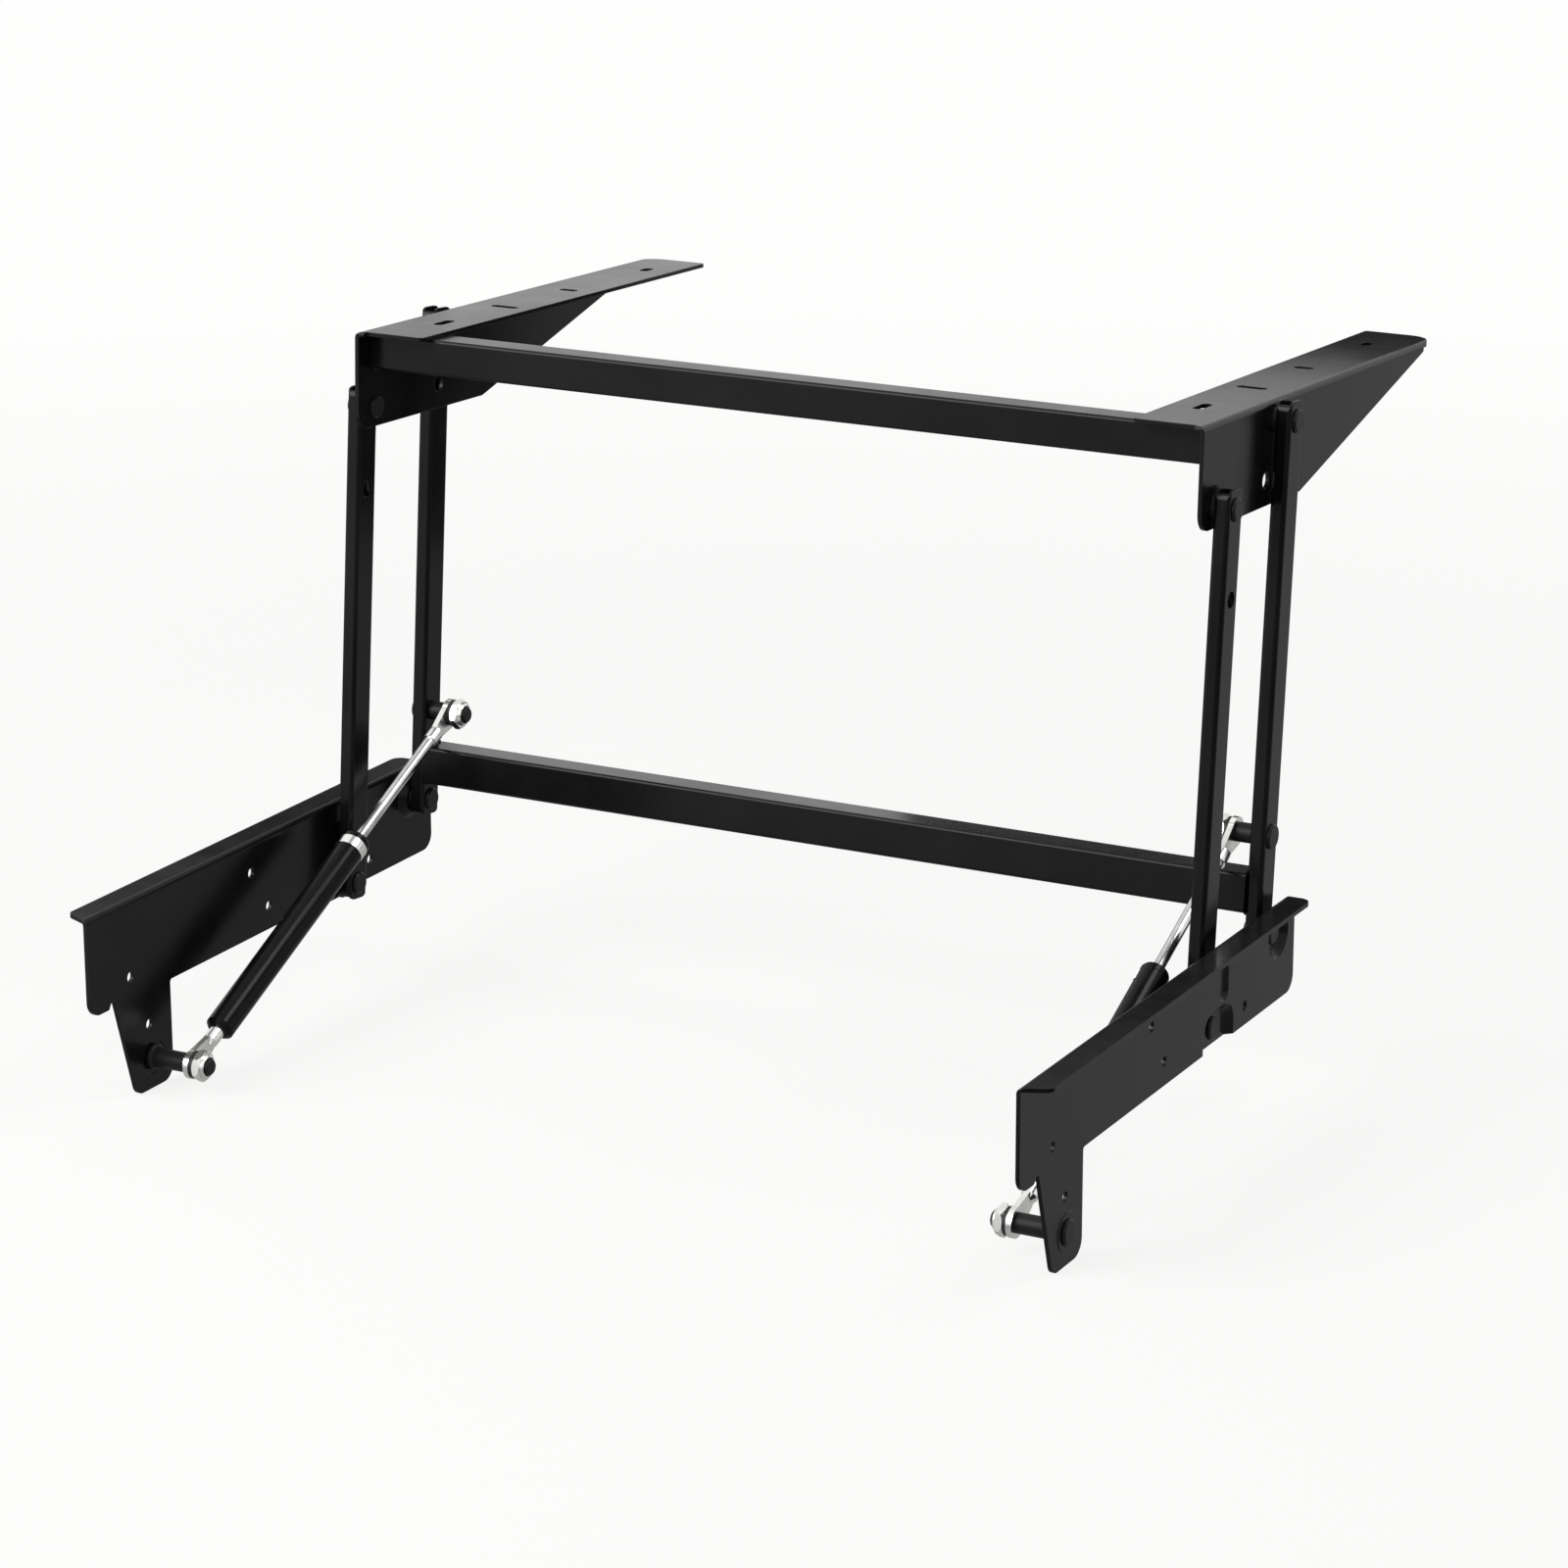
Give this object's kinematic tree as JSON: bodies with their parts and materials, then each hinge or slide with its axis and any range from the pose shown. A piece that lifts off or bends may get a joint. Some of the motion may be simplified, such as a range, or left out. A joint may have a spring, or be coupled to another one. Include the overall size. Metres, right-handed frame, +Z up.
{
  "type": "lift top table mechanism",
  "caption": "Lift top coffee table mechanism: base brackets, paired swing arms, crossbars and gas struts that raise a table top up and forward.",
  "frame": {"origin": "midway between the outer faces of the two base brackets, level with their middle screw holes", "axes": "+X across the cabinet to the right bracket, +Y away from the person who sits at the table, +Z up; the raised pose is the rest pose"},
  "size_m": [0.637, 0.6356, 0.4237],
  "materials": {
    "powder_coat": "satin black powder coat on steel",
    "coated_rivet": "satin black coated steel rivet",
    "black_washer": "matte black nylon",
    "coated_stud": "satin black coated steel stud",
    "zinc_nut": "bright zinc plated steel",
    "nut_insert": "dark nylon",
    "strut_paint": "gloss black painted steel tube",
    "zinc_fitting": "bright zinc plated steel",
    "rod_chrome": "polished hard chrome",
    "piston_metal": "machined",
    "guide_bush": "moulded guide bush",
    "seal_rubber": "black rubber"
  },
  "bodies": {
    "base": {"base_bracket_right": "powder_coat", "base_bracket_left": "powder_coat", "front_lower_rivets": "coated_rivet", "rear_lower_rivets": "coated_rivet", "front_lower_washers": "black_washer", "rear_lower_washers": "black_washer", "strut_anchor_heads": "coated_rivet"},
    "rear_frame": {"rear_arm_right": "powder_coat", "rear_arm_left": "powder_coat", "lower_crossbar": "powder_coat", "strut_upper_studs": "coated_stud", "strut_upper_washers": "black_washer", "strut_upper_nuts": "zinc_nut", "strut_upper_nut_inserts": "nut_insert"},
    "front_arm_right": {"front_arm_right": "powder_coat"},
    "front_arm_left": {"front_arm_left": "powder_coat"},
    "top_frame": {"top_bracket_right": "powder_coat", "top_bracket_left": "powder_coat", "upper_crossbar": "powder_coat", "front_upper_rivets": "coated_rivet", "rear_upper_rivets": "coated_rivet", "front_upper_spacers": "black_washer", "rear_upper_spacers": "black_washer"},
    "strut_rod_right": {"strut_rod_right": "rod_chrome", "strut_piston_right": "piston_metal", "strut_upper_eye_right": "zinc_fitting"},
    "strut_cylinder_right": {"strut_tube_right": "strut_paint", "strut_band_right": "zinc_fitting", "strut_cap_right": "strut_paint", "strut_rod_guide_right": "guide_bush", "strut_rod_seal_right": "seal_rubber", "strut_lower_eye_right": "zinc_fitting", "strut_lower_stud_right": "coated_stud", "strut_lower_washer_right": "black_washer", "strut_lower_nut_right": "zinc_nut", "strut_lower_nut_insert_right": "nut_insert"},
    "strut_rod_left": {"strut_rod_left": "rod_chrome", "strut_piston_left": "piston_metal", "strut_upper_eye_left": "zinc_fitting"},
    "strut_cylinder_left": {"strut_tube_left": "strut_paint", "strut_band_left": "zinc_fitting", "strut_cap_left": "strut_paint", "strut_rod_guide_left": "guide_bush", "strut_rod_seal_left": "seal_rubber", "strut_lower_eye_left": "zinc_fitting", "strut_lower_stud_left": "coated_stud", "strut_lower_washer_left": "black_washer", "strut_lower_nut_left": "zinc_nut", "strut_lower_nut_insert_left": "nut_insert"}
  },
  "joints": [
    {"name": "lift", "type": "hinge", "parent": "base", "child": "rear_frame", "pos_m": [0, 0.1835, 0.0001], "axis": [1, 0, 0], "range_deg": [0, 93.52], "stiffness_Nm_per_rad": 2, "springref_deg": -143.24},
    {"name": "front_arm_right_swing", "type": "hinge", "parent": "base", "child": "front_arm_right", "pos_m": [0.2898, 0.0959, -0.0316], "axis": [1, 0, 0], "range_deg": [0, 94.8]},
    {"name": "front_arm_left_swing", "type": "hinge", "parent": "base", "child": "front_arm_left", "pos_m": [-0.2898, 0.0959, -0.0316], "axis": [1, 0, 0], "range_deg": [0, 94.8]},
    {"name": "top_frame_level", "type": "hinge", "parent": "rear_frame", "child": "top_frame", "pos_m": [0, 0.21034, 0.30382], "axis": [1, 0, 0], "range_deg": [-91.1, 0]},
    {"name": "strut_right_swing", "type": "hinge", "parent": "rear_frame", "child": "strut_rod_right", "pos_m": [0.2717, 0.1886, 0.05788], "axis": [1, 0, 0], "range_deg": [-99.1, 0]},
    {"name": "strut_right_stroke", "type": "slide", "parent": "strut_rod_right", "child": "strut_cylinder_right", "axis": [0, 0.9032, 0.4291], "range_m": [0, 0.0803]},
    {"name": "strut_left_swing", "type": "hinge", "parent": "rear_frame", "child": "strut_rod_left", "pos_m": [-0.2717, 0.1886, 0.05788], "axis": [1, 0, 0], "range_deg": [-99.1, 0]},
    {"name": "strut_left_stroke", "type": "slide", "parent": "strut_rod_left", "child": "strut_cylinder_left", "axis": [0, 0.9032, 0.4291], "range_m": [0, 0.0803]}
  ],
  "couplings": [
    {"joint": "front_arm_right_swing", "follows": "lift", "ratio": 1.0124},
    {"joint": "front_arm_left_swing", "follows": "lift", "ratio": 1.0124},
    {"joint": "top_frame_level", "follows": "lift", "ratio": -0.9726},
    {"joint": "strut_right_swing", "follows": "lift", "ratio": -1.0581},
    {"joint": "strut_right_stroke", "follows": "lift", "m_per_rad": 0.049005},
    {"joint": "strut_left_swing", "follows": "lift", "ratio": -1.0581},
    {"joint": "strut_left_stroke", "follows": "lift", "m_per_rad": 0.049005}
  ]
}
